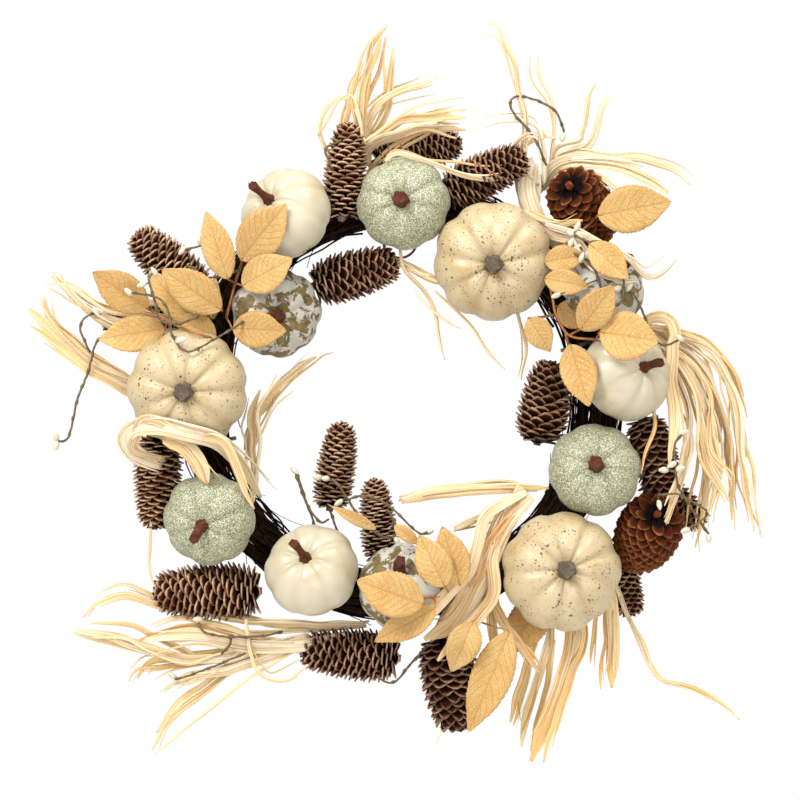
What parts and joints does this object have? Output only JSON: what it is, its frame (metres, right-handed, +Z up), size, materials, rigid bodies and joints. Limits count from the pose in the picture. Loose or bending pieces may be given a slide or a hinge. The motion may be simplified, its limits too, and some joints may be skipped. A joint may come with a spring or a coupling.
{
  "type": "harvest door wreath",
  "caption": "Round twig-base door wreath dressed with craft pumpkins, pine cones, fabric leaves and raffia, hung from a hinged wire loop at its back.",
  "frame": {"origin": "centre of the wire eye behind the ring's top, which is the hinge axis of the hanging loop", "axes": "+X to the wreath's right as seen from the front, +Y from the wreath towards the door behind it, +Z up as it hangs"},
  "size_m": [0.5501, 0.1303, 0.5548],
  "materials": {
    "twig": "dark dried twigs, rough",
    "wire": "dull dark annealed wire",
    "pumpkin_speckled": "satin cream paint with brown specks on foam",
    "pumpkin_sage": "sage green with fine pale glitter stipple on foam",
    "pumpkin_ivory": "smooth satin ivory paint on foam",
    "pumpkin_mottled": "chalky off-white with olive mottling on foam",
    "pumpkin_stem": "moulded, ribbed, painted dark brown",
    "cone": "natural pine cone, scales frosted pale at their edges",
    "leaf": "stiffened woven leaf fabric on an orange-brown moulded stem",
    "raffia": "dried corn husk and raffia strips"
  },
  "bodies": {
    "wreath": {"hoop_wire": "wire", "twig_strand_1": "twig", "twig_strand_2": "twig", "twig_strand_3": "twig", "binding_wire_left": "wire", "binding_wire_right": "wire", "hanger_anchor": "wire", "pumpkin_ivory_lower_left": "pumpkin_ivory", "pumpkin_ivory_right": "pumpkin_ivory", "pumpkin_ivory_upper_left": "pumpkin_ivory", "pumpkin_mottled_bottom": "pumpkin_mottled", "pumpkin_mottled_right": "pumpkin_mottled", "pumpkin_mottled_upper_left": "pumpkin_mottled", "pumpkin_sage_left": "pumpkin_sage", "pumpkin_sage_right": "pumpkin_sage", "pumpkin_sage_top": "pumpkin_sage", "pumpkin_speckled_left": "pumpkin_speckled", "pumpkin_speckled_lower_right": "pumpkin_speckled", "pumpkin_speckled_upper_right": "pumpkin_speckled", "stem_ivory_lower_left": "pumpkin_stem", "stem_ivory_right": "pumpkin_stem", "stem_ivory_upper_left": "pumpkin_stem", "stem_mottled_bottom": "pumpkin_stem", "stem_mottled_right": "pumpkin_stem", "stem_mottled_upper_left": "pumpkin_stem", "stem_sage_left": "pumpkin_stem", "stem_sage_right": "pumpkin_stem", "stem_sage_top": "pumpkin_stem", "stem_speckled_left": "pumpkin_stem", "stem_speckled_lower_right": "pumpkin_stem", "stem_speckled_upper_right": "pumpkin_stem", "cone_bottom": "cone", "cone_bottom_left": "cone", "cone_bottom_right": "cone", "cone_far_right": "cone", "cone_inner_bottom": "cone", "cone_inner_left": "cone", "cone_inner_right": "cone", "cone_inner_top": "cone", "cone_left": "cone", "cone_lower_left": "cone", "cone_lower_right": "cone", "cone_right": "cone", "cone_small_right": "cone", "cone_top": "cone", "cone_top_left": "cone", "cone_top_right": "cone", "cone_upper_left": "cone", "cone_upper_right": "cone", "leaf_spray_bottom": "leaf", "leaf_spray_left": "leaf", "leaf_spray_right": "leaf", "leaf_spray_upper_left": "leaf", "raffia_bottom_left": "raffia", "raffia_bottom_right": "raffia", "raffia_left": "raffia", "raffia_right": "raffia", "raffia_top": "raffia", "raffia_upper_right": "raffia"},
    "hanger": {"hanger_loop": "wire"}
  },
  "joints": [
    {"name": "hanger_swing", "type": "hinge", "parent": "wreath", "child": "hanger", "pos_m": [0, 0, 0], "axis": [1, 0, 0], "range_deg": [0, 180]}
  ]
}
